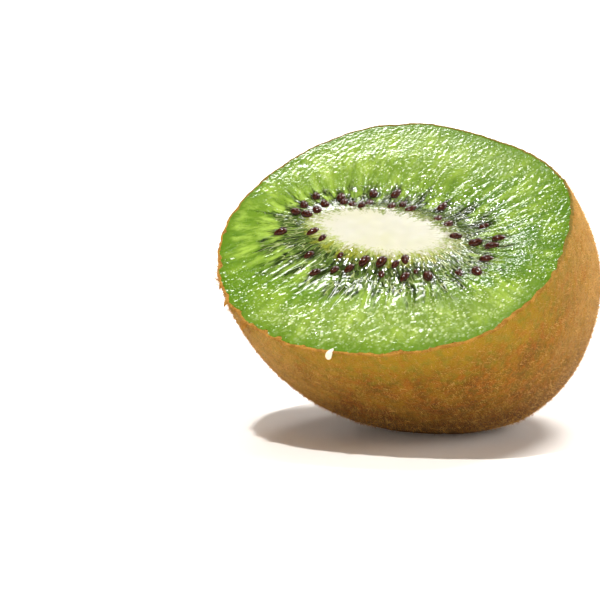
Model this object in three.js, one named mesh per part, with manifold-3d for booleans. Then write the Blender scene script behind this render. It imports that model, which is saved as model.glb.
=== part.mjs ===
// Half a kiwifruit, cut across and lying on its skin with the cut face tipped up towards the front left.
// Millimetres, +Z up. The origin is the middle of the small flat spot that the fruit rests on.

import * as THREE from 'three';
import Module from 'manifold-3d';
import { mergeVertices } from 'three/addons/utils/BufferGeometryUtils.js';

const wasm = await Module();
wasm.setup();

// Fruit, in the frame of its cut face: X along the long way of the pale core, Y up the face, Z out of it
const faceRadius = 25.9;
const outlineWaves = [
  { waves: 2, share: 0.042, peak: 147 },
  { waves: 3, share: 0.009, peak: 6 },
  { waves: 4, share: 0.014, peak: 46 },
  { waves: 5, share: 0.012, peak: 43 },
];
const widestDepth = 6.7;
const endLength = 32.0;
const endPower = 2.13;
const sidePower = 1.93;
const lowerSwell = 0.064;
const cutLean = 17;

// Dry button where the flower sat, on the buried end: distance from its axis, and height above the skin
const scarProfile = [[0, -0.9], [2.7, -0.9], [2.45, 0.5], [1.6, 0.9], [0, 0.7]];
const scarSides = 20;

// Green-black layer that holds the seeds, and the pale core inside it
const seedLayer = { middle: [-0.4, -0.8], halfLong: 18.0, halfShort: 11.4, depth: 29.5, power: 2.2 };
const core = { middle: [-1.3, -0.4], halfLong: 10.9, halfShort: 4.5, depth: 25.0, power: 2.0 };
const pieceGap = 0.3;

// Seeds, half sunk in the cut face with their points towards the core
const seedCount = 44;
const seedLength = 2.3;
const seedWidth = 1.4;
const seedThickness = 1.1;
const seedLift = 0.1;
const seedSides = 5;
const seedBands = 4;
const innerRowShare = 0.3;
const outerRowShare = 0.66;
const seedShareScatter = 0.16;
const seedTurnScatter = 3;
const seedDraw = 29;

// How the half lies: where the middle of its cut face is, and how the face is turned
const faceMiddle = new THREE.Vector3(-7.7, -9.8, 29.2);
const faceSpin = -14.8;
const faceTip = 37.3;
const faceTurn = -21.3;

// Fineness of the surfaces
const fruitSteps = 72;
const fruitRings = 24;
const hollowRings = 10;
const layerSteps = 48;
const layerRings = 10;
const coreSteps = 36;

const radians = THREE.MathUtils.degToRad;
const fruitDepth = widestDepth + endLength;

// Share of the mean radius at one turn of the slightly uneven outline
function outlineShare(turn) {
  const swells = outlineWaves.map((wave) => wave.share * Math.cos(wave.waves * (turn - radians(wave.peak))));
  return swells.reduce((sum, swell) => sum + swell, 1);
}

// Half width of the fruit at one depth below the cut, as a share of that at the cut
function fruitShare(depth) {
  const round = (d) => (1 - Math.abs((d - widestDepth) / endLength) ** endPower) ** (1 / sidePower);
  return (round(depth) / round(0)) * (1 + (lowerSwell * depth) / endLength);
}

// The fruit's own axis leans from the square of the cut, up the face
function leanShift(depth) {
  return depth * Math.tan(radians(cutLean));
}

function fruitPoint(turn, depth) {
  const radius = faceRadius * outlineShare(turn) * fruitShare(depth);
  return new THREE.Vector3(radius * Math.cos(turn), radius * Math.sin(turn) + leanShift(depth), -depth);
}

// Point on a layer inside the fruit, an oval that closes towards the buried end
function layerPoint(layer, turn, depth, grow) {
  const close = (1 - (depth / (layer.depth + grow)) ** layer.power) ** (1 / layer.power);
  return new THREE.Vector3(
    layer.middle[0] + (layer.halfLong + grow) * close * Math.cos(turn),
    layer.middle[1] + (layer.halfShort + grow) * close * Math.sin(turn) + leanShift(depth),
    -depth,
  );
}

// Rings of points from the cut face down, closer together where the surface turns inwards at the end
function ringsDown(pointAt, length, rings, steps) {
  const result = [];
  for (let ring = 0; ring < rings; ring += 1) {
    const depth = length * Math.sin((ring / rings) * Math.PI / 2);
    result.push(Array.from({ length: steps }, (_, step) => pointAt((step / steps) * 2 * Math.PI, depth)));
  }
  return result;
}

// Closed body through a run of rings, from one end point to the other
function bodyThroughRings(startPoint, rings, endPoint) {
  const steps = rings[0].length;
  const points = [startPoint, ...rings.flat(), endPoint];
  const last = points.length - 1;
  const at = (ring, step) => 1 + ring * steps + (step % steps);
  const faces = [];
  for (let step = 0; step < steps; step += 1) {
    faces.push(0, at(0, step + 1), at(0, step));
    for (let ring = 0; ring < rings.length - 1; ring += 1) {
      faces.push(at(ring, step), at(ring, step + 1), at(ring + 1, step));
      faces.push(at(ring, step + 1), at(ring + 1, step + 1), at(ring + 1, step));
    }
    faces.push(last, at(rings.length - 1, step), at(rings.length - 1, step + 1));
  }
  const geometry = new THREE.BufferGeometry();
  geometry.setAttribute('position', new THREE.Float32BufferAttribute(points.flatMap((p) => p.toArray()), 3));
  geometry.setIndex(faces);
  return geometry;
}

// Cup between an outer and an inner surface, joined by the flat band of the cut face
function cupBody(outerRings, outerEnd, innerRings, innerEnd) {
  return bodyThroughRings(outerEnd, [...outerRings.toReversed(), ...innerRings], innerEnd);
}

function toSolid(geometry) {
  const plain = geometry.clone();
  plain.deleteAttribute('normal');
  plain.deleteAttribute('uv');
  const merged = mergeVertices(plain);
  const vertProperties = new Float32Array(merged.attributes.position.array);
  const triVerts = new Uint32Array(merged.index.array);
  return new wasm.Manifold(new wasm.Mesh({ numProp: 3, vertProperties, triVerts }));
}

function toGeometry(solid) {
  const mesh = solid.getMesh();
  const geometry = new THREE.BufferGeometry();
  geometry.setAttribute('position', new THREE.BufferAttribute(new Float32Array(mesh.vertProperties), 3));
  geometry.setIndex(new THREE.BufferAttribute(new Uint32Array(mesh.triVerts), 1));
  return geometry;
}

// Turns and places a geometry as the half lies
const lyingPose = new THREE.Matrix4()
  .makeTranslation(faceMiddle)
  .multiply(new THREE.Matrix4().makeRotationZ(radians(faceTurn)))
  .multiply(new THREE.Matrix4().makeRotationX(radians(faceTip)))
  .multiply(new THREE.Matrix4().makeRotationZ(radians(faceSpin)));

// Low dry button on the buried end, its axis along the fruit's own
function scarGeometry() {
  const profile = scarProfile.map(([distance, height]) => new THREE.Vector2(distance, height));
  const outwards = new THREE.Vector3(0, Math.sin(radians(cutLean)), -Math.cos(radians(cutLean)));
  const turned = new THREE.Quaternion().setFromUnitVectors(new THREE.Vector3(0, 1, 0), outwards);
  return new THREE.LatheGeometry(profile, scarSides)
    .applyQuaternion(turned)
    .translate(0, leanShift(fruitDepth), -fruitDepth);
}

// Flesh with its skin: the whole outside, hollow for the seed layer, flat where it rests
function fleshWithSkin() {
  const hollowDepth = seedLayer.depth + pieceGap;
  const hollowPoint = (turn, depth) => layerPoint(seedLayer, turn, depth, pieceGap);
  const body = cupBody(
    ringsDown(fruitPoint, fruitDepth, fruitRings, fruitSteps),
    fruitPoint(0, fruitDepth),
    ringsDown(hollowPoint, hollowDepth, hollowRings, fruitSteps),
    hollowPoint(0, hollowDepth),
  );
  const belowRest = new THREE.BoxGeometry(4 * faceRadius, 4 * faceRadius, 2 * faceRadius);
  belowRest.translate(0, 0, -faceRadius);
  const fruit = toSolid(body).add(toSolid(scarGeometry()));
  const lying = toSolid(toGeometry(fruit).applyMatrix4(lyingPose));
  return toGeometry(lying.subtract(toSolid(belowRest)));
}

// Repeatable draw between -1 and 1
function seededDraw(seed) {
  const step = 16807;
  const span = 2147483647;
  let state = seed;
  return () => {
    state = (state * step) % span;
    return (state / span) * 2 - 1;
  };
}

// One seed, pointing from the core outwards, at a share of the way from the core to the flesh
function seedGeometry(turn, share) {
  const between = (a, b) => a + (b - a) * share;
  const halfLong = between(core.halfLong, seedLayer.halfLong);
  const halfShort = between(core.halfShort, seedLayer.halfShort);
  const x = between(core.middle[0], seedLayer.middle[0]) + halfLong * Math.cos(turn);
  const y = between(core.middle[1], seedLayer.middle[1]) + halfShort * Math.sin(turn);
  const outwards = Math.atan2(halfLong * Math.sin(turn), halfShort * Math.cos(turn));
  return new THREE.SphereGeometry(1, seedSides, seedBands)
    .scale(seedLength / 2, seedWidth / 2, seedThickness / 2)
    .rotateZ(outwards)
    .translate(x, y, seedLift);
}

// Layer round the core with its seeds fused on, in two staggered rows
function seedRing() {
  const hollowDepth = core.depth + pieceGap;
  const outerPoint = (turn, depth) => layerPoint(seedLayer, turn, depth, 0);
  const hollowPoint = (turn, depth) => layerPoint(core, turn, depth, pieceGap);
  let ring = toSolid(cupBody(
    ringsDown(outerPoint, seedLayer.depth, layerRings, layerSteps),
    outerPoint(0, seedLayer.depth),
    ringsDown(hollowPoint, hollowDepth, layerRings, layerSteps),
    hollowPoint(0, hollowDepth),
  ));
  const draw = seededDraw(seedDraw);
  for (let seed = 0; seed < seedCount; seed += 1) {
    const turn = radians((seed / seedCount) * 360 + draw() * seedTurnScatter);
    const rowShare = seed % 2 === 0 ? innerRowShare : outerRowShare;
    const share = rowShare + draw() * seedShareScatter;
    ring = ring.add(toSolid(seedGeometry(turn, share)));
  }
  return toGeometry(ring).applyMatrix4(lyingPose);
}

// Pale core, an oval spindle that runs down the middle
function paleCore() {
  const corePoint = (turn, depth) => layerPoint(core, turn, depth, 0);
  const rings = ringsDown(corePoint, core.depth, layerRings, coreSteps).reverse();
  const faceCentre = new THREE.Vector3(core.middle[0], core.middle[1], 0);
  return bodyThroughRings(corePoint(0, core.depth), rings, faceCentre).applyMatrix4(lyingPose);
}

function namedPiece(name, geometry, color, roughness) {
  const material = new THREE.MeshStandardMaterial({ color, roughness, metalness: 0 });
  const mesh = new THREE.Mesh(geometry, material);
  mesh.name = name;
  return mesh;
}

const kiwifruitHalf = new THREE.Group();
kiwifruitHalf.add(namedPiece('flesh_with_skin', fleshWithSkin(), 0x97ba48, 0.45));
kiwifruitHalf.add(namedPiece('seed_ring', seedRing(), 0x5f6c3d, 0.4));
kiwifruitHalf.add(namedPiece('core', paleCore(), 0xf6f3dc, 0.5));

export default kiwifruitHalf;
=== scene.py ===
# Half a kiwifruit, cut across and lying on its skin.
# Its pieces are shaped in the frame of the cut face, in millimetres: X along the long way of the
# pale core, Y up the face, Z out of it. They are then laid as the half lies, in metres.

import math
import random

import bpy
import numpy as np
from mathutils import Matrix, Vector, noise


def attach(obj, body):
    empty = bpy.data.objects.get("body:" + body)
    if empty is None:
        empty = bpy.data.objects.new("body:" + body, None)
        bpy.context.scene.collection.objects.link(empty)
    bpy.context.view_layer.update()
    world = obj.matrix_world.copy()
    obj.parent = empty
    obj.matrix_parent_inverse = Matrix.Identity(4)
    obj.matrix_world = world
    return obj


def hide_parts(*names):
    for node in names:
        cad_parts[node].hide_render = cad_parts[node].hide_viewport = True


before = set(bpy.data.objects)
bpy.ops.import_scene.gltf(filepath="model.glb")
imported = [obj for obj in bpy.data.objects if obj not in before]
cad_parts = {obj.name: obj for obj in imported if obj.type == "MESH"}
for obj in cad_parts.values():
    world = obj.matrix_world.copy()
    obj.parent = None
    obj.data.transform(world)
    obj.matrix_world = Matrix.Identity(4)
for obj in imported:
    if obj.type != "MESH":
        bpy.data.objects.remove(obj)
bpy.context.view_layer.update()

# Skin: the dry brown peel, 0.3 mm thick, that grew round the whole fruit.
# It ends in a thin brown line at the cut, is pressed flat under the fruit, and closes at the far end.

face_middle = Vector((-7.7, -9.8, 29.2))
face_spin, face_tip, face_turn = math.radians(-14.8), math.radians(37.3), math.radians(-21.3)
lying = (Matrix.Scale(0.001, 4) @ Matrix.Translation(face_middle) @ Matrix.Rotation(face_turn, 4, "Z")
         @ Matrix.Rotation(face_tip, 4, "X") @ Matrix.Rotation(face_spin, 4, "Z"))
face_radius = 25.9
outline_swells = ((2, 0.042, 147), (3, 0.009, 6), (4, 0.014, 46), (5, 0.012, 43))
widest_depth = 6.7
end_length = 32.0
end_power, side_power = 2.13, 1.93
lower_swell = 0.064
lean_angle = math.radians(17)
cut_lean = math.tan(lean_angle)
skin_thickness = 0.3
dent_turn = -0.36


def outline_share(turn):
    """Share of the mean radius at one turn of the uneven outline."""
    swells = (share * np.cos(waves * (turn - math.radians(peak))) for waves, share, peak in outline_swells)
    return 1 + sum(swells)


def fruit_share(depth):
    """Half width of the fruit at a depth below the cut, as a share of that at the cut."""
    def round_share(at):
        return (1 - np.abs((at - widest_depth) / end_length) ** end_power).clip(0) ** (1 / side_power)
    return round_share(depth) / round_share(0.0) * (1 + lower_swell * depth / end_length)


def rim_waves(turn):
    """Small waves of the cut edge, where the peel shrank and tore under the knife."""
    spot = np.stack([np.cos(turn), np.sin(turn), np.zeros_like(turn)], -1) * face_radius
    past = (turn - dent_turn + math.pi) % (2 * math.pi) - math.pi
    pressed = 0.35 * np.exp(-(past / 0.33) ** 2) - 0.65 * np.exp(-(past / 0.14) ** 2)
    return pressed + 0.3 * lumps(spot, 2.6, 5.0) + 0.16 * lumps(spot, 0.8, 9.0)


def rim_width(turn):
    """Width of the brown line at the cut, which is ragged and widest at the lower left."""
    spot = np.stack([np.cos(turn), np.sin(turn), np.zeros_like(turn)], -1) * face_radius
    lower_left = 0.5 - 0.5 * np.cos(turn - math.radians(65))
    ragged = np.clip(0.05 + lumps(spot, 1.3, 3.0) + 0.5 * lumps(spot, 0.5, 1.0), 0, 1)
    return skin_thickness + ragged * (0.1 + 0.7 * lower_left)


def fruit_rows(turns, depths):
    """Rows of points on the outside of the fruit, one row for each depth."""
    turn, depth = np.meshgrid(turns, depths)
    radius = face_radius * outline_share(turn) * fruit_share(depth)
    radius += rim_waves(turn) * np.exp(-depth / 1.5)
    return np.stack([radius * np.cos(turn), radius * np.sin(turn) + cut_lean * depth, -depth], -1)


def unit(ways):
    """Ways brought to a length of one."""
    return ways / np.linalg.norm(ways, axis=-1, keepdims=True).clip(1e-9)


def row_normals(rows):
    """Outward normals of rows of points that close round the fruit."""
    along = np.roll(rows, -1, 1) - np.roll(rows, 1, 1)
    return unit(np.cross(np.gradient(rows, axis=0), along))


def laid(points, lift=0.0):
    """Points of the face frame as the fruit lies, pressed flat where it meets the floor."""
    turned = np.array(lying.to_3x3())
    placed = points @ turned.T + np.array(lying.translation)
    placed[..., 2] = np.maximum(placed[..., 2], lift * 0.001)
    return placed


def shell_faces(start, count, steps):
    """Faces of a closed body: so many rows between two end points, numbered from the start."""
    ring = start + 1 + np.arange(count * steps).reshape(count, steps)
    after = np.roll(ring, -1, 1)
    sides = np.stack([ring[:-1], after[:-1], after[1:], ring[1:]], -1).reshape(-1, 4)
    first_end = np.stack([np.full(steps, start), after[0], ring[0]], -1)
    last_end = np.stack([np.full(steps, start + count * steps + 1), ring[-1], after[-1]], -1)
    return sides.tolist() + first_end.tolist() + last_end.tolist()


def closed_piece(name, first, rows, last, lift=0.0, marks=None):
    """A closed mesh through rows of points, from one end point to the other, in its lying place."""
    count, steps = rows.shape[:2]
    points = np.concatenate([[first], rows.reshape(-1, 3), [last]])
    mesh = bpy.data.meshes.new(name)
    mesh.from_pydata(laid(points, lift).tolist(), [], shell_faces(0, count, steps))
    mark(mesh, "place", points)
    for key, values in (marks or {}).items():
        values = values.reshape(count * steps, -1)
        mark(mesh, key, np.concatenate([values[:1], values, values[-1:]]))
    mesh.shade_smooth()
    mesh.set_sharp_from_angle(angle=math.radians(70))
    return added(name, mesh)


def mark(mesh, name, values):
    """Keeps a number or a place for each point of a mesh, for its material to read."""
    values = np.asarray(values, np.float32)
    if values.ndim == 2 and values.shape[1] == 3:
        mesh.attributes.new(name, "FLOAT_VECTOR", "POINT").data.foreach_set("vector", values.ravel())
    else:
        mesh.attributes.new(name, "FLOAT", "POINT").data.foreach_set("value", values.ravel())


def added(name, mesh):
    """An object of that mesh, in the scene and riding on the fruit."""
    piece = bpy.data.objects.new(name, mesh)
    bpy.context.scene.collection.objects.link(piece)
    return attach(piece, "root")


def lumps(points, size, seed=0.0):
    """Soft uneven lumps between -1 and 1, of about that size in millimetres."""
    scaled = np.asarray(points).reshape(-1, 3) / size + seed
    return np.array([noise.noise(p) for p in scaled.tolist()]).reshape(np.shape(points)[:-1])


def put(tree, kind, out=0, **settings):
    """One node; a setting is one of its options, or a socket given a value or another node's output."""
    node = tree.nodes.new("ShaderNode" + kind)
    for key, value in settings.items():
        if hasattr(node, key):
            setattr(node, key, value)
            continue
        number = key.strip("_")
        socket = node.inputs[int(number) if number.isdigit() else key.replace("_", " ").title()]
        if isinstance(value, bpy.types.NodeSocket):
            tree.links.new(value, socket)
        else:
            socket.default_value = value
    return node.outputs[out]


def seen(red, green, blue):
    """A colour as it shows on a screen, from 0 to 255, for the renderer."""
    shares = (level / 255 for level in (red, green, blue))
    return tuple(s / 12.92 if s < 0.04 else ((s + 0.055) / 1.055) ** 2.4 for s in shares) + (1,)


def kept_place(tree, name):
    """The place that a mesh keeps for each point under that name."""
    return put(tree, "Attribute", 1, attribute_name=name)


def kept_number(tree, name):
    """The number that a mesh keeps for each point under that name."""
    return put(tree, "Attribute", 2, attribute_name=name)


def cloud(tree, place, scale, detail=2.0, roughness=0.5):
    """Uneven cloudy values round one half."""
    return put(tree, "TexNoise", Vector=place, Scale=scale, Detail=detail, Roughness=roughness)


def spread(tree, value, low, high, to_low=0.0, to_high=1.0):
    """The value spread from one range to another, and held at its ends."""
    return put(tree, "MapRange", _0=value, _1=low, _2=high, _3=to_low, _4=to_high)


def tint(tree, share, under, over):
    """One colour laid over another by a share."""
    return put(tree, "Mix", 2, data_type="RGBA", _0=share, _6=under, _7=over)


def sum_of(tree, first, second):
    """Two values added."""
    return put(tree, "Math", operation="ADD", _0=first, _1=second)


def product_of(tree, first, second):
    """Two values multiplied."""
    return put(tree, "Math", operation="MULTIPLY", _0=first, _1=second)


def less(tree, first, second):
    """One value with another taken off."""
    return put(tree, "Math", operation="SUBTRACT", _0=first, _1=second)


def finish_named(name, **constants):
    """An empty material with its shader, which is given its constant numbers."""
    finish = bpy.data.materials.new(name)
    finish.use_nodes = True
    shader = finish.node_tree.nodes["Principled BSDF"]
    for key, value in constants.items():
        shader.inputs[key.replace("_", " ").title().replace("Ior", "IOR")].default_value = value
    return finish, finish.node_tree, shader


def colour_with(tree, shader, colour, height=None, bump_strength=0.5, bump_mm=0.1, roughness=None):
    """Gives a shader its colour, its fine bumps and its uneven roughness."""
    tree.links.new(colour, shader.inputs["Base Color"])
    if height is not None:
        bump = put(tree, "Bump", Strength=bump_strength, Distance=bump_mm * 0.001, Height=height)
        tree.links.new(bump, shader.inputs["Normal"])
    if roughness is not None:
        tree.links.new(roughness, shader.inputs["Roughness"])


def uneven_shift(tree, place):
    """A small uneven shift for each place, to break up a regular pattern."""
    return put(tree, "TexNoise", 1, Vector=place, Scale=1.6, Detail=2.0)


def skin_finish():
    """Mottled brown peel, golden olive where light comes through it by the cut, painted paler on two sides
    as bright light, and painted darker with shade towards the buried end.
    """
    finish, tree, shader = finish_named("fruit_skin", Roughness=0.6, Sheen_Weight=0.08,
                                        Sheen_Roughness=0.3)
    shader.inputs["Sheen Tint"].default_value = (1.0, 0.68, 0.3, 1)
    shader.inputs["Specular IOR Level"].default_value = 0.05
    place, depth = kept_place(tree, "place"), kept_number(tree, "depth")
    broad = cloud(tree, place, 0.22, 3.0)
    blotch = cloud(tree, place, 0.9, 3.0, 0.6)
    patch = cloud(tree, put(tree, "VectorMath", operation="ADD", _0=place, _1=(31, 7, 3)), 0.8, 3.0, 0.6)
    speck = cloud(tree, place, 3.2, 4.0, 0.65)
    # Open pores, most of them on two sides of the fruit, where a paler brown is also painted as bright light
    # on the peel
    shifted = put(tree, "VectorMath", operation="MULTIPLY_ADD", _0=uneven_shift(tree, place),
                  _1=(0.5, 0.5, 0.5), _2=place)
    pores = put(tree, "TexVoronoi", feature="F1", Vector=shifted, Scale=1.7)
    across = put(tree, "VectorMath", 1, operation="DOT_PRODUCT", _0=place, _1=(0.83, 0.52, -0.22))
    across = sum_of(tree, across, spread(tree, broad, 0.3, 0.7, -4.0, 4.0))
    tan = sum_of(tree, spread(tree, across, -4, -16), spread(tree, across, 20, 28))
    pitted = sum_of(tree, spread(tree, depth, 2.0, 7.0, 0.0, 0.3), product_of(tree, tan, 0.35))
    open_pore = sum_of(tree, pores, spread(tree, speck, 0.3, 0.7, 0.12, -0.12))
    pore = product_of(tree, spread(tree, open_pore, 0.26, 0.12), pitted)
    # Brown, with rusty and olive patches, and painted shade that darkens it towards the buried end
    brown = tint(tree, spread(tree, broad, 0.38, 0.62), seen(148, 106, 24), seen(114, 72, 20))
    # Painted light: a paler, yellower brown on two sides of the fruit, where light falls brightest on the
    # peel
    brown = tint(tree, product_of(tree, tan, 0.6), brown, seen(198, 154, 74))
    plain = spread(tree, tan, 0.0, 1.0, 0.65, 0.3)
    rust = product_of(tree, spread(tree, blotch, 0.5, 0.6), plain)
    rusty = tint(tree, rust, brown, seen(166, 100, 32))
    greening = product_of(tree, spread(tree, patch, 0.5, 0.6), plain)
    olive = tint(tree, greening, rusty, seen(112, 92, 24))
    dark = tint(tree, spread(tree, speck, 0.46, 0.32, 0.0, 0.5), olive, seen(82, 46, 12))
    light = tint(tree, spread(tree, speck, 0.55, 0.7, 0.0, 0.45), dark, seen(202, 146, 62))
    # Painted shade: the peel darkens towards the buried end, the part that lies lowest and gets the least
    # light
    low = tint(tree, spread(tree, depth, 11.0, 22.0, 0.0, 0.75), light, seen(86, 50, 17))
    # Golden near the cut, and a dry brown edge at the rim
    golden = tint(tree, spread(tree, patch, 0.45, 0.62), seen(164, 130, 32), seen(144, 130, 38))
    uneven = sum_of(tree, depth, spread(tree, blotch, 0.3, 0.7, -2.5, 2.5))
    warm = spread(tree, uneven, 7.0, 1.0, 0.0, 0.85)
    warm = product_of(tree, warm, spread(tree, tan, 0.0, 1.0, 1.0, 0.35))
    upper = spread(tree, put(tree, "SeparateXYZ", 1, Vector=place), -8.0, 6.0)
    warm = product_of(tree, warm, spread(tree, upper, 0.0, 1.0, 1.0, 0.45))
    colour = tint(tree, warm, low, golden)
    colour = tint(tree, pore, colour, seen(68, 38, 16))
    edge = tint(tree, spread(tree, blotch, 0.42, 0.58), seen(148, 96, 34), seen(186, 130, 54))
    edge = tint(tree, upper, edge, seen(112, 98, 34))
    colour = tint(tree, spread(tree, depth, 0.4, 0.1, 0.0, 0.8), colour, edge)
    relief = less(tree, sum_of(tree, blotch, speck), product_of(tree, pore, 0.5))
    colour_with(tree, shader, colour, relief, 1.0, 0.5)
    return finish


skin_turns = np.linspace(0, 2 * math.pi, 480, endpoint=False)
fruit_depth = widest_depth + end_length
skin_depths = fruit_depth * np.sin(np.linspace(0, math.pi / 2, 110, endpoint=False))
skin_rows = fruit_rows(skin_turns, skin_depths)
skin_normals = row_normals(skin_rows)
uneven = 0.09 * lumps(skin_rows, 3.2) + 0.05 * lumps(skin_rows, 1.1, 7.0)
skin_outside = skin_rows + skin_normals * (uneven * np.minimum(1, skin_depths / 2)[:, None])[..., None]
skin_inside = skin_rows[2::3] - skin_normals[2::3] * skin_thickness
cut_rim = skin_rows[:1] - skin_normals[:1] * rim_width(skin_turns)[:, None]
cut_rim[..., 2] = 0
skin_end = np.array([0, cut_lean * fruit_depth, -fruit_depth])
inner_end = skin_end * (1 - skin_thickness / fruit_depth)
skin_all = np.concatenate([skin_outside[::-1], cut_rim, skin_inside])
depth_marks = np.broadcast_to(-skin_all[..., 2], skin_all.shape[:2])
skin = closed_piece("skin", skin_end, skin_all, inner_end, marks={"depth": depth_marks})
skin.data.materials.append(skin_finish())
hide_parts("flesh_with_skin")

# Fuzz: short stiff hairs, about half a millimetre long, that lie over on the skin and catch the light.
# They are dry plant hair that grew from the peel. Longer ones stand at the rim, where the knife
# raised them, and others have come loose and lie on the skin.


def hair_piece(name, roots, ways, lengths, width, curl, parts):
    """One mesh of thin three-sided tapered hairs, each bent over sideways and built in so many parts."""
    count = len(roots)
    side = unit(np.cross(ways, np.roll(ways, 1, -1)))
    other = np.cross(ways, side)
    points = np.empty((count, 3 * parts + 1, 3))
    for step in range(parts):
        along = step / parts
        middle = roots + ways * (lengths * along)[:, None] + side * (lengths * curl * along ** 2)[:, None]
        for corner in range(3):
            turn = corner * 2 * math.pi / 3
            spoke = side * math.cos(turn) + other * math.sin(turn)
            points[:, step * 3 + corner] = middle + width * (1 - 0.6 * along) * spoke
    points[:, -1] = roots + ways * lengths[:, None] + side * (lengths * curl)[:, None]
    first = np.arange(count)[:, None, None] * (3 * parts + 1)
    faces = [(at + c, at + (c + 1) % 3, at + 3 + (c + 1) % 3, at + 3 + c)
             for at in range(0, 3 * parts - 3, 3) for c in range(3)]
    tips = [(3 * parts - 3 + c, 3 * parts - 3 + (c + 1) % 3, 3 * parts) for c in range(3)]
    quads = (first + np.array(faces, int).reshape(-1, 4)).reshape(-1, 4).tolist()
    triangles = (first + tips).reshape(-1, 3).tolist()
    points = points.reshape(-1, 3)
    mesh = bpy.data.meshes.new(name)
    mesh.from_pydata(laid(points).tolist(), [], quads + triangles)
    mark(mesh, "place", points)
    mesh.shade_smooth()
    return added(name, mesh)


def fuzz_finish():
    """Dull golden brown of dry plant hair."""
    finish, tree, shader = finish_named("fuzz", Roughness=0.7)
    shader.inputs["Specular IOR Level"].default_value = 0.1
    shade = cloud(tree, kept_place(tree, "place"), 0.8, 2.0)
    colour = tint(tree, spread(tree, shade, 0.35, 0.65), seen(160, 106, 42), seen(216, 168, 94))
    colour_with(tree, shader, colour)
    return finish


dry_hair = fuzz_finish()
spots = np.random.default_rng(3)
fuzz_count = 60000
fuzz_width = 0.026
fuzz_sunk = 0.05
clear_of_floor = 0.0008
cells = skin_outside[:-1]
down, round_way = skin_outside[1:] - cells, np.roll(cells, -1, 1) - cells
area = np.linalg.norm(np.cross(down, round_way), axis=-1).ravel()
chosen = spots.choice(area.size, fuzz_count, p=area / area.sum())
down, round_way, fuzz_normals = (v.reshape(-1, 3)[chosen] for v in (down, round_way, skin_normals[:-1]))
fuzz_roots = cells.reshape(-1, 3)[chosen] + down * spots.random((fuzz_count, 1))
fuzz_roots += round_way * spots.random((fuzz_count, 1))
fuzz_ways = fuzz_normals * spots.uniform(0.1, 0.9, (fuzz_count, 1)) + 0.4 * unit(round_way)
fuzz_ways = unit(fuzz_ways + spots.normal(0, 0.5, (fuzz_count, 3)))
clear = laid(fuzz_roots)[:, 2] > clear_of_floor
fuzz_lengths = spots.uniform(0.3, 0.75, clear.sum())
fuzz_roots = (fuzz_roots - fuzz_normals * fuzz_sunk)[clear]
fuzz = hair_piece("skin_fuzz", fuzz_roots, fuzz_ways[clear], fuzz_lengths, fuzz_width, curl=0.0, parts=1)
fuzz.data.materials.append(dry_hair)

left_count, round_count = 130, 90
rim_count = left_count + round_count
rim_spread = np.concatenate([spots.uniform(-2.65, -1.9, left_count),
                             spots.uniform(0, 2 * math.pi, round_count)])
rim_drop = spots.uniform(0.05, 1.6, rim_count)
rim_line = fruit_rows(rim_spread, np.zeros(1))[0] - (0, 0, 1) * rim_drop[:, None]
rim_out = np.stack([np.cos(rim_spread), np.sin(rim_spread), np.full(rim_count, 0.3)], -1)
rim_ways = unit(rim_out + spots.normal(0, 0.45, (rim_count, 3)))
rim_lengths = spots.uniform(0.4, 0.9, rim_count)
rim_lengths[:left_count] *= 1.8
rim_hairs = hair_piece("rim_hairs", rim_line - rim_out * 0.1, rim_ways, rim_lengths, width=0.03, curl=0.6,
                       parts=4)
rim_hairs.data.materials.append(dry_hair)

loose_count = 420
loose_turns = spots.uniform(0, 2 * math.pi, loose_count)
loose_depths = spots.uniform(3, 34, loose_count)
loose_places = zip(loose_turns, loose_depths)
loose_roots = np.array([fruit_rows(np.array([t]), np.array([d]))[0, 0] for t, d in loose_places])
loose_out = np.stack([np.cos(loose_turns), np.sin(loose_turns), -loose_depths / 40], -1)
loose_ways = np.cross(loose_out, (0, 0.2, 1)) * spots.choice([-1, 1], (loose_count, 1))
loose_ways += spots.normal(0, 0.3, (loose_count, 3))
outward_share = (loose_ways * loose_out).sum(-1) / (loose_out ** 2).sum(-1)
loose_ways = unit(loose_ways - loose_out * (outward_share - 0.12)[:, None])
loose_clear = laid(loose_roots)[:, 2] > 0.0015
loose_lengths = spots.uniform(0.7, 1.5, loose_clear.sum())
loose_hairs = hair_piece("loose_hairs", loose_roots[loose_clear], loose_ways[loose_clear], loose_lengths,
                         width=0.045, curl=0.15, parts=3)
loose_hairs.data.materials.append(dry_hair)

# Rags of skin: thin shreds that the knife left hanging at the left of the rim.
# Each is a strip of peel, 1 to 2 mm long, joined at the rim and curled outwards and down.


def peel_shred(name, turn, length, width, curl):
    """A tapered curled strip, 0.2 mm thick, that starts in the rim."""
    along = np.linspace(0, 1, 10)[:, None]
    round_way = np.linspace(0, 2 * math.pi, 16, endpoint=False)
    out = np.array([math.cos(turn), math.sin(turn), 0.0])
    beside = np.array([-math.sin(turn), math.cos(turn), 0.0])
    up = np.array([0, 0, 1.0])
    bend = along * curl
    middle = (out * np.sin(bend) + up * (np.cos(bend) - 1)) * length / curl
    thick = -0.1 * (out * np.sin(bend) + up * np.cos(bend))
    wide = width * (1 - 0.75 * along ** 1.5) * (1 + 0.25 * np.sin(along * 9 + turn))
    start = fruit_rows(np.array([turn]), np.zeros(1))[0, 0] - out * 0.3 - (0, 0, 0.12)
    rows = (start + middle[:, None] + beside * wide[:, None] * np.cos(round_way)[:, None]
            + thick[:, None] * np.sin(round_way)[:, None])
    rows += 0.12 * lumps(rows, 0.9)[..., None] * (out + (0, 0, 0.5))
    shred = closed_piece(name, rows[0].mean(0), rows, rows[-1].mean(0))
    shred.data.materials.append(skin.data.materials[0])


peel_shred("peel_shred_1", -1.97, length=1.9, width=0.8, curl=2.0)
peel_shred("peel_shred_2", -2.2, length=1.2, width=0.45, curl=1.2)
peel_shred("peel_shred_3", -2.36, length=1.0, width=0.35, curl=1.6)

# Flower scar: the dry button at the buried end where the flower sat, 5.4 mm wide.
# It grew out of the skin; its rim is torn, and the stubs of the styles stand in its middle.


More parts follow.
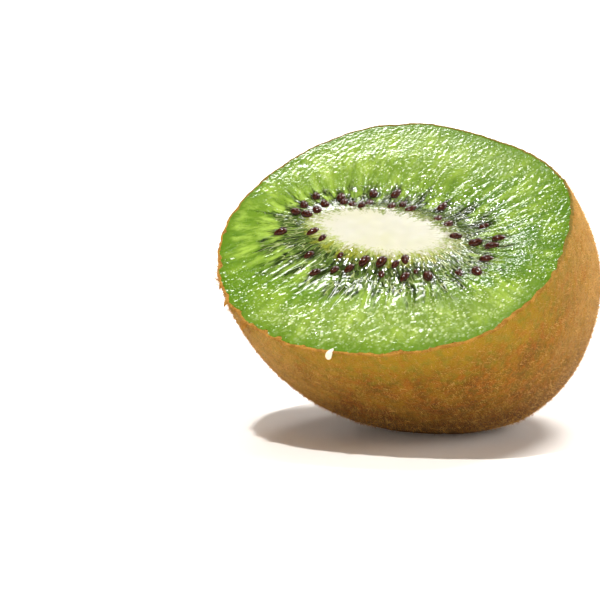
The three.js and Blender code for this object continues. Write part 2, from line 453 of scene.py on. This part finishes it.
def scar_finish():
    """Grey-brown dry plant tissue, with painted shade darkening it in its folds."""
    finish, tree, shader = finish_named("dry_scar", Roughness=0.8)
    shader.inputs["Specular IOR Level"].default_value = 0.15
    place = kept_place(tree, "place")
    fold = cloud(tree, place, 3.0, 4.0, 0.6)
    # Painted shade: the colour darkens where the fold bumps sink
    colour = tint(tree, spread(tree, fold, 0.35, 0.65), seen(52, 34, 20), seen(126, 92, 58))
    colour_with(tree, shader, colour, fold, 0.8, 0.2)
    return finish


scar_turns = np.linspace(0, 2 * math.pi, 72, endpoint=False)
scar_profile = np.array([(2.75, -0.85), (2.72, -0.3), (2.65, 0.15), (2.5, 0.5), (2.2, 0.72), (1.85, 0.85),
                         (1.5, 0.86), (1.2, 0.7), (0.95, 0.45), (0.7, 0.35), (0.45, 0.5), (0.2, 0.62)])
scar_axis = np.array([0, math.sin(lean_angle), -math.cos(lean_angle)])
scar_across = np.cross(scar_axis, (1, 0, 0))
ragged_edge = (1 + 0.05 * np.cos(scar_turns * 31) + 0.06 * np.cos(scar_turns * 7 + 1)
               + 0.03 * np.cos(scar_turns * 13))
scar_width = scar_profile[:, :1] * np.where(scar_profile[:, :1] > 1, ragged_edge, 1)
scar_rows = (skin_end + scar_width[..., None] * (np.cos(scar_turns)[:, None] * np.array([1.0, 0, 0])
                                                 + np.sin(scar_turns)[:, None] * scar_across)
             + scar_profile[:, 1][:, None, None] * scar_axis)
scar_rows += 0.12 * lumps(scar_rows, 0.5)[..., None] * scar_axis
scar = closed_piece("flower_scar", skin_end - 0.85 * scar_axis, scar_rows, skin_end + 0.62 * scar_axis)
scar.data.materials.append(scar_finish())

# Outer flesh: wet green flesh, soft enough that the knife leaves grains and torn fibres on the cut.
# It fills the skin, and its fibres fan out from the seed layer to the rim.

layer_middle, layer_half, layer_depth = np.array([-0.4, -0.8]), np.array([18.0, 11.4]), 29.5
core_middle, core_half, core_depth = np.array([-1.3, -0.4]), np.array([10.9, 4.5]), 25.0
wall_power = 2.1


def turn_at_rim(turn):
    """Turn at which a fibre that leaves the core at a turn reaches the rim."""
    return np.arctan2(np.sin(turn), 1.12 * np.cos(turn))


def face_place(turn, share):
    """Place on the cut face: share 0 is the edge of the core, 1 that of the seed layer, 2 the rim."""
    round_way = np.stack([np.cos(turn), np.sin(turn)], -1)
    core_edge = core_middle + core_half * round_way
    layer_edge = layer_middle + layer_half * round_way
    rim_turn = turn_at_rim(turn)
    rim_radius = face_radius * outline_share(rim_turn) + rim_waves(rim_turn) - rim_width(rim_turn)
    rim = rim_radius[..., None] * np.stack([np.cos(rim_turn), np.sin(rim_turn)], -1)
    inner, outer = np.clip(share, 0, 1)[..., None], np.clip(share - 1, 0, 1)[..., None]
    return core_edge + (layer_edge - core_edge) * inner + (rim - layer_edge) * outer


def fibre_place(turn, share, fineness, length):
    """Place in a space stretched along the fibres, so that lumps there are long and thin."""
    return np.stack([np.cos(turn) * fineness, np.sin(turn) * fineness, share * length], -1)


# Each seed is set by its turn round the core in degrees and its share of the way from core to flesh
seed_places = (
    (-156, 0.80), (-147, 0.11), (-131, 0.10), (-122, 0.61), (-108, 0.93), (-105, 0.27), (-101, 0.66),
    (-94, 0.51), (-87, 0.25), (-75, 0.23), (-74, 0.50), (-65, 0.24), (-60, 0.53), (-57, 0.12), (-52, 0.43),
    (-46, 0.58), (-27, 0.70), (-19, 0.90), (-3, 0.78), (13, 0.76), (16, 0.46), (21, 0.12), (22, 0.90),
    (39, 0.77), (48, 0.20), (60, 0.22), (72, 0.67), (84, 0.22), (93, 0.40), (98, 0.21), (102, 0.77),
    (115, 0.76), (116, 0.34), (120, 0.14), (128, 0.22), (134, 0.38), (135, 0.64), (150, 0.41),
    (150, 0.86), (162, 0.27), (163, 0.71), (175, 0.33), (175, 0.66),
)
seed_turns = np.radians([turn for turn, _ in seed_places])
seed_shares = np.array([share for _, share in seed_places])
seed_spots = face_place(seed_turns, seed_shares)


def seed_shade(flat):
    """Dark jelly round each seed, from 0 to 1, drawn out along the fibres."""
    shade = np.zeros(flat.shape[:-1])
    for (x, y), turn in zip(seed_spots, seed_turns):
        away = flat - (x, y)
        long_way = away[..., 0] * math.cos(turn) + away[..., 1] * math.sin(turn)
        cross_way = away[..., 1] * math.cos(turn) - away[..., 0] * math.sin(turn)
        shade = np.maximum(shade, np.exp(-(long_way / 1.9) ** 2 - (cross_way / 1.0) ** 2))
    return shade


def smooth_share(value, low, high):
    """0 below low, 1 above high, and a smooth climb between."""
    share = np.clip((value - low) / (high - low), 0, 1)
    return share * share * (3 - 2 * share)


def face_marks(flat):
    """Where the face is torn by the knife, frosted with opened cells and a painted pale sheen, or calm, each
    from 0 to 1.
    """
    x, y = flat[..., 0], flat[..., 1]
    torn = np.exp(-((x - 3) / 16) ** 2 - ((y + 11.5) / 5.5) ** 2)
    frost_and_painted_sheen = 0.7 * smooth_share(0.94 * y - 0.35 * x, 6, 15) + smooth_share(0.4 * x - 0.92 * y, 12, 18)
    calm = np.minimum(1, 1.3 * np.exp(-((x + 17) / 10.5) ** 2 - ((y + 4) / 9) ** 2))
    return torn, frost_and_painted_sheen, calm


def sunk_depth(turn):
    """How far the soft seed layer sinks below the cut, most above the core and least at the left."""
    left = smooth_share(-np.cos(turn - 0.2), 0.2, 0.8)
    return 0.7 - 0.6 * left + 0.25 * smooth_share(np.sin(turn), 0.1, 0.8)


chamber_count = 42


def chamber_side(turn, share):
    """How near the wall of its seed chamber a place is, from 0 to 1."""
    wander = 0.9 * lumps(fibre_place(turn, share, 6.0, 0.6), 1.0, 41.0)
    return np.abs((turn * chamber_count / (2 * math.pi) + wander) % 1 - 0.5) * 2


def sunk_level(turn, share):
    """Height of the sunk floor of the seed layer, with its banks to the core and to the outer flesh."""
    return -sunk_depth(turn) * smooth_share(share, -0.05, 0.55) * smooth_share(-share, -1.5, -0.5)


def face_relief(turn, share, flat):
    """Height of the cut face: sunk round the core, with drops of torn fibre there and grains further out."""
    spot = np.concatenate([flat, np.zeros(flat.shape[:-1] + (1,))], -1)
    torn, _, calm = face_marks(flat)
    swell = lumps(spot, 4.0, 31.0)
    lobes = lumps(fibre_place(turn, share, 15.0, 1.5), 1.0)
    drops = lumps(fibre_place(turn, share, 34.0, 12.0), 1.0, 19.0)
    furrows = -0.4 * np.clip(chamber_side(turn, share) - 0.5, 0, 1) * smooth_share(share, 0.3, 0.8)
    ribs = lumps(fibre_place(turn, share, 37.0, 17.0), 1.0, 11.0)
    grains = lumps(spot * (1.3, 0.65, 1), 0.75, 23.0)
    patches = np.clip(0.75 + 1.3 * lumps(spot, 4.5, 57.0), 0.25, 1.3)
    near_core = smooth_share(-share, -1.6, -1.0)
    upper = smooth_share(flat[..., 1], -2.0, 4.0) * near_core
    wetter = 1 + 0.8 * smooth_share(-share, -1.15, -0.75)
    soft = np.maximum(torn * wetter, 0.5 * near_core + 0.3 * upper)
    height = 0.05 * swell + (0.1 * lobes + 0.06 * drops + furrows) * soft
    outer = smooth_share(share, 1.2, 1.6)
    rib_height = 0.05 * ribs * (1 - np.maximum(0.9 * torn, 0.5 * outer))
    height += patches * (rib_height + 0.075 * grains * outer)
    return sunk_level(turn, share) + height * (1 - 0.85 * calm)


def wall_rows(middle, half, depth, turns, shares):
    """Rows down the side of an oval layer that closes towards the buried end."""
    turn, at = np.meshgrid(turns, depth * np.sin(shares * math.pi / 2))
    close = (1 - (at / depth) ** wall_power) ** (1 / wall_power)
    return np.stack([middle[0] + half[0] * close * np.cos(turn),
                     middle[1] + half[1] * close * np.sin(turn) + cut_lean * at, -at], -1)


def along_fibres(tree, fineness, length):
    """Place in a space stretched along the fibres, for the textures of the cut face."""
    return put(tree, "VectorMath", operation="MULTIPLY", _0=kept_place(tree, "fibre"),
               _1=(fineness, fineness, length))


def near(tree, value, middle, reach):
    """1 where a value is at the middle, falling to 0 at its reach."""
    away = put(tree, "Math", operation="ABSOLUTE", _0=less(tree, value, middle))
    return spread(tree, away, reach, 0.0)


def face_group():
    """Colour and fine bumps of the whole cut face, shared by its three layers so that no seam shows."""
    tree = bpy.data.node_groups.new("cut_face", "ShaderNodeTree")
    for socket, kind in (("Color", "NodeSocketColor"), ("Height", "NodeSocketFloat"),
                         ("Roughness", "NodeSocketFloat")):
        tree.interface.new_socket(socket, in_out="OUTPUT", socket_type=kind)
    outputs = tree.nodes.new("NodeGroupOutput")
    place, share = kept_place(tree, "place"), kept_number(tree, "share")
    torn, frost_and_painted_sheen, calm = kept_number(tree, "torn"), kept_number(tree, "frost_and_painted_sheen"), kept_number(tree, "calm")
    streak = cloud(tree, along_fibres(tree, 8, 1.8), 1.0, 3.0, 0.55)
    thread = cloud(tree, along_fibres(tree, 26, 4), 1.0, 2.0, 0.6)
    hair_line = cloud(tree, along_fibres(tree, 16, 3), 1.0, 1.0)
    rib = cloud(tree, along_fibres(tree, 32, 15), 1.0, 1.0)
    grain = cloud(tree, place, 2.0, 1.0, 0.6)
    broad = cloud(tree, place, 0.12, 2.0)
    cells = put(tree, "TexVoronoi", feature="SMOOTH_F1", Vector=along_fibres(tree, 38, 15), Scale=1.0,
                Smoothness=0.3)
    dots = put(tree, "TexVoronoi", feature="F1", Vector=along_fibres(tree, 46, 24), Scale=1.0)
    across = put(tree, "SeparateXYZ", Vector=place)
    up = put(tree, "SeparateXYZ", 1, Vector=place)
    # Green flesh, with opened cells and a darker rim, and painted highlights: a pale sheen, pale cells that
    # are partly sheen, and dots painted as glints of juice
    green = tint(tree, spread(tree, across, -16, 20), seen(96, 129, 34), seen(78, 111, 35))
    green = tint(tree, spread(tree, broad, 0.4, 0.65, 0.0, 0.5), green, seen(106, 134, 32))
    green = tint(tree, spread(tree, streak, 0.48, 0.66, 0.0, 0.8), green, seen(138, 164, 58))
    sunny = product_of(tree, spread(tree, streak, 0.45, 0.65), spread(tree, calm, 0.1, 0.9, 0.0, 0.7))
    green = tint(tree, sunny, green, seen(156, 184, 76))
    green = tint(tree, spread(tree, thread, 0.5, 0.32, 0.0, 0.6), green, seen(64, 98, 14))
    # Painted sheen: a pale haze laid on the frosted zones, in place of light reflected off their wet grains
    green = tint(tree, spread(tree, frost_and_painted_sheen, 0.0, 1.0, 0.0, 0.25), green, seen(160, 176, 84))
    # Pale opened cells: partly the flesh's own pale grains, partly painted sheen of light on the wet cells
    cell = product_of(tree, spread(tree, cells, 0.5, 0.15), spread(tree, frost_and_painted_sheen, 0.3, 1.0, 0.0, 0.7))
    patchy = cloud(tree, place, 0.5, 3.0, 0.6)
    cell = product_of(tree, cell, spread(tree, patchy, 0.4, 0.58, 0.25, 1.0))
    green = tint(tree, cell, green, seen(194, 206, 146))
    # Painted highlights: small pale dots painted as glints of light on the wet flesh
    painted_glint_dots = product_of(tree, spread(tree, dots, 0.34, 0.16), spread(tree, calm, 0.6, 0.0, 0.1, 0.85))
    painted_glint_dots = product_of(tree, painted_glint_dots, spread(tree, patchy, 0.44, 0.58, 0.1, 1.0))
    green = tint(tree, painted_glint_dots, green, seen(214, 222, 176))
    rim = spread(tree, share, 1.76, 1.97, 0.0, 0.75)
    green = tint(tree, rim, green, seen(78, 112, 14))
    # Dark jelly round the seeds, with a ragged outer edge
    longer = sum_of(tree, spread(tree, torn, 0.0, 1.0, 0.0, 0.6), spread(tree, calm, 0.0, 0.5, 0.0, 0.25))
    longer = less(tree, longer, spread(tree, frost_and_painted_sheen, 0.0, 0.5, 0.0, 0.2))
    reach = less(tree, share, longer)
    ragged = sum_of(tree, reach, spread(tree, streak, 0.3, 0.7, -0.5, 0.5))
    ragged = sum_of(tree, ragged, spread(tree, thread, 0.3, 0.7, -0.2, 0.2))
    gel = tint(tree, spread(tree, thread, 0.4, 0.6), seen(34, 46, 14), seen(80, 102, 40))
    gel = tint(tree, spread(tree, streak, 0.52, 0.66, 0.0, 0.8), gel, seen(96, 118, 52))
    gel = tint(tree, near(tree, hair_line, 0.5, 0.035), gel, seen(150, 160, 104))
    gel = tint(tree, spread(tree, up, 0.0, 5.0, 0.0, 0.45), gel, seen(38, 44, 20))
    colour = tint(tree, spread(tree, ragged, 0.95, 0.5), green, gel)
    round_seed = sum_of(tree, kept_number(tree, "seed_shade"), spread(tree, thread, 0.35, 0.65, 0.2, -0.2))
    colour = tint(tree, spread(tree, round_seed, 0.25, 0.85, 0.0, 0.8), colour, seen(32, 36, 14))
    # Pale core with a feathered edge, and a yellow-green ring below it
    edge = sum_of(tree, share, spread(tree, thread, 0.3, 0.7, -0.1, 0.1))
    edge = sum_of(tree, edge, spread(tree, grain, 0.3, 0.7, -0.1, 0.1))
    edge = sum_of(tree, edge, spread(tree, streak, 0.3, 0.7, -0.12, 0.12))
    ring = tint(tree, spread(tree, streak, 0.45, 0.55), seen(130, 136, 42), seen(158, 168, 96))
    low_side = spread(tree, up, 3.0, -4.0, 0.35, 1.0)
    colour = tint(tree, product_of(tree, spread(tree, edge, 0.3, 0.1), low_side), colour, ring)
    pith = spread(tree, edge, 0.06, -0.14)
    creamy = tint(tree, spread(tree, broad, 0.4, 0.7), seen(190, 188, 172), seen(188, 186, 160))
    colour = tint(tree, pith, colour, creamy)
    # Fine bumps, least on the core, where the knife tore and where the face is calm
    rough = product_of(tree, spread(tree, torn, 0.0, 0.8, 1.0, 0.15), spread(tree, calm, 0.0, 0.7, 1.0, 0.1))
    grainy = product_of(tree, grain, spread(tree, frost_and_painted_sheen, 0.0, 0.8, 0.25, 0.6))
    ribbed = product_of(tree, rib, spread(tree, frost_and_painted_sheen, 0.0, 0.8, 1.4, 0.5))
    rough = product_of(tree, rough, spread(tree, share, -0.3, 0.0, 0.0, 1.0))
    above = product_of(tree, spread(tree, up, -2.0, 4.0), spread(tree, share, 1.5, 1.0))
    rough = product_of(tree, rough, spread(tree, above, 0.0, 1.0, 1.0, 0.9))
    height = product_of(tree, sum_of(tree, grainy, ribbed), rough)
    tree.links.new(colour, outputs.inputs["Color"])
    tree.links.new(height, outputs.inputs["Height"])
    wet = spread(tree, cloud(tree, place, 0.35, 2.0), 0.35, 0.65, 0.06, 0.12)
    wet = sum_of(tree, wet, product_of(tree, above, 0.02))
    tree.links.new(wet, outputs.inputs["Roughness"])
    return tree


cut_face = face_group()


def wet_finish(name, bump_strength, gloss, glow):
    """Wet, slightly see-through finish of one layer of the cut face."""
    finish, tree, shader = finish_named(name, Subsurface_Weight=glow, Subsurface_Scale=0.001, Ior=1.5)
    shader.inputs["Specular IOR Level"].default_value = gloss
    shader.inputs["Subsurface Radius"].default_value = (1.2, 1.6, 0.5)
    face = tree.nodes.new("ShaderNodeGroup")
    face.node_tree = cut_face
    colour_with(tree, shader, face.outputs["Color"], face.outputs["Height"], bump_strength, 0.1,
                face.outputs["Roughness"])
    return finish


face_turns = np.linspace(0, 2 * math.pi, 1080, endpoint=False)


def face_record(turn, share, points):
    """What the points of a layer keep for the finish of the cut face."""
    flat = points[..., :2]
    torn, frost_and_painted_sheen, calm = face_marks(flat)
    return {"share": share, "fibre": fibre_place(turn, share, 1.0, 1.0), "torn": torn, "frost_and_painted_sheen": frost_and_painted_sheen,
            "calm": calm, "seed_shade": seed_shade(flat)}


def face_layer(name, low_share, high_share, rows, outer_wall, inner_wall, lift, fade):
    """One closed layer of the half: its outer wall, its share of the cut face, and its inner wall."""
    shares = np.linspace(high_share, low_share, rows)
    turn, share = np.meshgrid(face_turns, shares)
    flat = face_place(turn, share)
    height = face_relief(turn, share, flat) * fade(share)
    top = np.concatenate([flat, height[..., None]], -1)
    body = np.concatenate([outer_wall[::-1], top, inner_wall])
    pad = (len(outer_wall), len(inner_wall))
    marks = face_record(np.pad(turn, (pad, (0, 0)), "edge"), np.pad(share, (pad, (0, 0)), "edge"), body)
    return closed_piece(name, outer_wall[-1].mean(0), body, inner_wall[-1].mean(0), lift, marks)


wall_gap = 0.02
wall_shares = np.linspace(0.02, 0.985, 12)
flesh_depths = (fruit_depth - skin_thickness) * np.sin(np.linspace(0.04, 0.99, 14) * math.pi / 2)
rim_turns = turn_at_rim(face_turns)
flesh_rows = fruit_rows(rim_turns, flesh_depths)
rim_extra = (rim_width(rim_turns) - skin_thickness) * np.exp(-flesh_depths[:, None] / 0.8)
flesh_gap = skin_thickness + wall_gap + rim_extra
flesh_wall = flesh_rows - row_normals(flesh_rows) * flesh_gap[..., None]
layer_hollow = wall_rows(layer_middle, layer_half + wall_gap, layer_depth, face_turns, wall_shares)
layer_wall = wall_rows(layer_middle, layer_half - wall_gap, layer_depth - 0.1, face_turns, wall_shares)
core_hollow = wall_rows(core_middle, core_half + wall_gap, core_depth, face_turns, wall_shares)
core_wall = wall_rows(core_middle, core_half - wall_gap, core_depth - 0.1, face_turns, wall_shares)


def rounded_rim(share):
    """The flesh sinks to the level of the skin at the rim."""
    return smooth_share(2 - share, 0.0, 0.16)


flesh = face_layer("flesh", 1.0, 2.0, 62, flesh_wall, layer_hollow, 0.45, rounded_rim)
flesh.data.materials.append(wet_finish("wet_green_flesh", 1.0, 0.5, 0.3))
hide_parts("flesh_with_skin")

# Seed layer: dark green jelly in some forty narrow chambers round the core, with pale walls between.
# It sits in the flesh, and its chambers show as streaks that run out from the core.

seed_layer = face_layer("seed_layer", 0.0, 1.0, 56, layer_wall, core_hollow, 0.0, lambda share: 1.0)
seed_layer.data.materials.append(wet_finish("seed_jelly", 1.0, 0.5, 0.1))
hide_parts("seed_ring")

# Core: the dry creamy pith in the middle, an oval spindle with short pale fibres at its edge.
# It is the firm heart that the fruit grew round, and the seed layer closes on it all the way down.

core_shares = np.linspace(1.0, 0.02, 34)
core_turn, core_share = np.meshgrid(face_turns, core_shares)
core_round = np.stack([np.cos(core_turn), np.sin(core_turn)], -1)
core_flat = core_middle + core_half * core_round * core_share[..., None]
core_height = 0.05 * lumps(np.concatenate([core_flat, core_share[..., None]], -1), 1.6)
core_edge_height = face_relief(core_turn, np.zeros_like(core_turn), core_middle + core_half * core_round)
core_height = core_height * (1 - core_share ** 8) + core_edge_height * core_share ** 8
core_top = np.concatenate([core_flat, core_height[..., None]], -1)
core_body = np.concatenate([core_wall[::-1], core_top])
core_pad = ((len(core_wall), 0), (0, 0))
core_record = face_record(np.pad(core_turn, core_pad, "edge"), np.pad(core_share - 1, core_pad, "edge"),
                          core_body)
core = closed_piece("pale_core", core_wall[-1].mean(0), core_body, core_top[-1].mean(0), 0.0, core_record)
core.data.materials.append(wet_finish("creamy_core", 0.3, 0.2, 0.3))
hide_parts("core")

# Seeds: hard glossy brown-black ovals, about 2 mm long, held in the jelly with their points to the core.
# Each grew in its own chamber. The knife left some standing proud of the cut and others half sunk.

seed_half = np.array([1.04, 0.66, 0.52])


def seed_points():
    """A seed's rows: an oval with one end drawn to a blunt point."""
    along = np.linspace(0, math.pi, 15)[1:-1]
    round_turn = np.linspace(0, 2 * math.pi, 18, endpoint=False)
    a, r = np.meshgrid(along, round_turn, indexing="ij")
    width = np.sin(a) * (1 + 0.18 * np.cos(a))
    return np.stack([-np.cos(a), width * np.cos(r), width * np.sin(r)], -1) * seed_half


def joined_piece(name, bodies):
    """One mesh of many closed bodies, each given as an end point, rows and an end point."""
    points, faces = [], []
    for first, rows, last in bodies:
        faces += shell_faces(len(points), *rows.shape[:2])
        points += [first, *rows.reshape(-1, 3), last]
    mesh = bpy.data.meshes.new(name)
    mesh.from_pydata(laid(np.array(points)).tolist(), [], faces)
    mark(mesh, "place", np.array(points))
    mesh.shade_smooth()
    return added(name, mesh)


def seed_finish():
    """Brown-black seed coat with a faint net of pits."""
    finish, tree, shader = finish_named("seed_coat", Roughness=0.35, Coat_Weight=0.3, Coat_Roughness=0.1)
    place = kept_place(tree, "place")
    cell = cloud(tree, place, 4.0, 2.0)
    colour = tint(tree, spread(tree, cell, 0.4, 0.65), seen(36, 12, 5), seen(74, 31, 13))
    colour_with(tree, shader, colour, cell, 0.4, 0.1)
    shader.inputs["Specular IOR Level"].default_value = 0.05
    return finish


draw = random.Random(5)
seed_rows = seed_points()
seed_bodies = []
for turn, share, middle in zip(seed_turns, seed_shares, seed_spots):
    half = core_half + (layer_half - core_half) * share
    way = math.atan2(half[0] * math.sin(turn), half[1] * math.cos(turn))
    way += math.radians(draw.uniform(-22, 22))
    size = draw.uniform(0.78, 1.06)
    nod = math.radians(draw.uniform(-8, 8))
    turned = np.array(Matrix.Rotation(way, 3, "Z") @ Matrix.Rotation(nod, 3, "Y"))
    spot = np.array([middle[0], middle[1], draw.uniform(-0.32, 0.08) + sunk_level(turn, share)])
    seed = seed_rows @ turned.T * size + spot
    ends = np.array([[-seed_half[0], 0, 0], [seed_half[0], 0, 0]]) @ turned.T * size + spot
    seed_bodies.append((ends[0], seed, ends[1]))
seeds = joined_piece("seeds", seed_bodies)
seeds.data.materials.append(seed_finish())
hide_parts("seed_ring")

# Pulp fleck: one small drop of pale core flesh, 1.6 mm long, that fell on the lower rim and stuck there.
# It lies bent over the edge of the cut, its thick end down on the skin and its tip on the flesh.

fleck_along = np.linspace(0, math.pi, 13)[1:-1, None]
fleck_round = np.linspace(0, 2 * math.pi, 20, endpoint=False)
fleck_width = 0.43 * np.sin(fleck_along) * (1 + 0.45 * np.cos(fleck_along))
fleck_rows = np.stack([fleck_width * np.cos(fleck_round), fleck_width * np.sin(fleck_round),
                       -0.82 * np.cos(fleck_along) * np.ones(20)], -1)
fleck_rows += 0.15 * lumps(fleck_rows, 0.6)[..., None]
fleck_rows[..., 0] -= 0.4 * fleck_rows[..., 2] ** 2
fleck_axis, fleck_out = np.array([0.3, 0.69, 0.66]), np.array([0.05, -0.69, 0.72])
fleck_frame = np.stack([fleck_out, np.cross(fleck_axis, fleck_out), fleck_axis])
fleck_middle = np.array([4.85, -24.88, -0.33]) + 0.15 * fleck_out
fleck_ends = np.array([[-0.27, 0, -0.82], [-0.27, 0, 0.82]]) @ fleck_frame + fleck_middle
fleck = closed_piece("pulp_fleck", fleck_ends[0], fleck_rows @ fleck_frame + fleck_middle, fleck_ends[1])
pulp, pulp_tree, pulp_shader = finish_named("pale_pulp", Roughness=0.25, Subsurface_Weight=0.3,
                                            Subsurface_Scale=0.001)
pulp_shade = cloud(pulp_tree, kept_place(pulp_tree, "place"), 1.5)
colour_with(pulp_tree, pulp_shader, tint(pulp_tree, pulp_shade, seen(222, 212, 186), seen(236, 229, 206)))
fleck.data.materials.append(pulp)

# Floor: a plain pale top, lit by soft lamps above it and by a bright low wall all round.
# The camera looks as the picture was taken, from low in front and to the left.


def pale_floor():
    """A wide flat top with its finish."""
    mesh = bpy.data.meshes.new("floor_top")
    reach = 4.0
    mesh.from_pydata([(-reach, -reach, 0), (reach, -reach, 0), (reach, reach, 0), (-reach, reach, 0)], [],
                     [(0, 1, 2, 3)])
    floor = bpy.data.objects.new("floor_top", mesh)
    bpy.context.scene.collection.objects.link(floor)
    finish, tree, shader = finish_named("pale_floor", Roughness=0.6)
    fine = cloud(tree, put(tree, "TexCoord", 3), 300.0)
    colour = tint(tree, fine, (0.96, 0.92, 0.865, 1), (0.98, 0.94, 0.89, 1))
    colour_with(tree, shader, colour)
    mesh.materials.append(finish)


def lamp(name, towards, size, watts):
    """A soft round lamp that shines at the fruit from one direction."""
    distance = 1.2
    light = bpy.data.lights.new(name, "AREA")
    light.shape = "DISK"
    light.size = size
    light.energy = watts
    holder = bpy.data.objects.new(name, light)
    bpy.context.scene.collection.objects.link(holder)
    away = Vector(towards).normalized()
    holder.location = away * distance
    holder.rotation_mode = "QUATERNION"
    holder.rotation_quaternion = away.to_track_quat("Z", "Y")


def pale_wall():
    """A bright low wall round the floor, which closes the view behind it."""
    sides, wall_height = 48, 0.27
    foot = [(math.cos(t), math.sin(t), 0.0) for t in np.linspace(0, 2 * math.pi, sides, endpoint=False)]
    top = [(x, y, wall_height) for x, y, _ in foot]
    panels = [(i, (i + 1) % sides, sides + (i + 1) % sides, sides + i) for i in range(sides)]
    mesh = bpy.data.meshes.new("pale_wall")
    mesh.from_pydata(foot + top, [], panels)
    wall = bpy.data.objects.new("pale_wall", mesh)
    bpy.context.scene.collection.objects.link(wall)
    finish, tree, shader = finish_named("bright_wall", Roughness=1.0, Emission_Strength=1.2)
    fine = cloud(tree, put(tree, "TexCoord", 3), 3.0)
    colour_with(tree, shader, tint(tree, fine, (0.55, 0.52, 0.49, 1), (0.6, 0.57, 0.54, 1)))
    glow = tint(tree, fine, (0.98, 0.91, 0.85, 1), (1, 0.93, 0.87, 1))
    tree.links.new(glow, shader.inputs["Emission Color"])
    mesh.materials.append(finish)


pale_floor()
lamp("small_lamp", (-0.227, -0.258, 1.0), size=0.07, watts=12.2)
lamp("far_lamp", (-0.2, 0.55, 0.81), size=0.34, watts=3.3)
lamp("face_lamp", (-0.12, 0.34, 0.93), size=0.14, watts=0.1)
lamp("back_lamp", (0.386, 0.343, 0.857), size=0.45, watts=15.2)
lamp("side_lamp", (0.9, -0.25, 0.35), size=1.0, watts=9)
pale_wall()
world = bpy.data.worlds.new("pale_room")
bpy.context.scene.world = world
world.use_nodes = True
world.node_tree.nodes["Background"].inputs["Color"].default_value = (1, 1, 1, 1)
world.node_tree.nodes["Background"].inputs["Strength"].default_value = 0.05
bpy.context.scene.view_settings.view_transform = "Standard"

camera = bpy.data.objects.new("camera", bpy.data.cameras.new("camera"))
bpy.context.scene.collection.objects.link(camera)
camera.location = (-0.02035, -0.21272, 0.03373)
camera.rotation_euler = (math.radians(90 - 4.06), 0, 0)
camera.data.sensor_width = 36
camera.data.lens = 86.2
camera.data.clip_start = 0.01
camera.data.clip_end = 20
bpy.context.scene.camera = camera
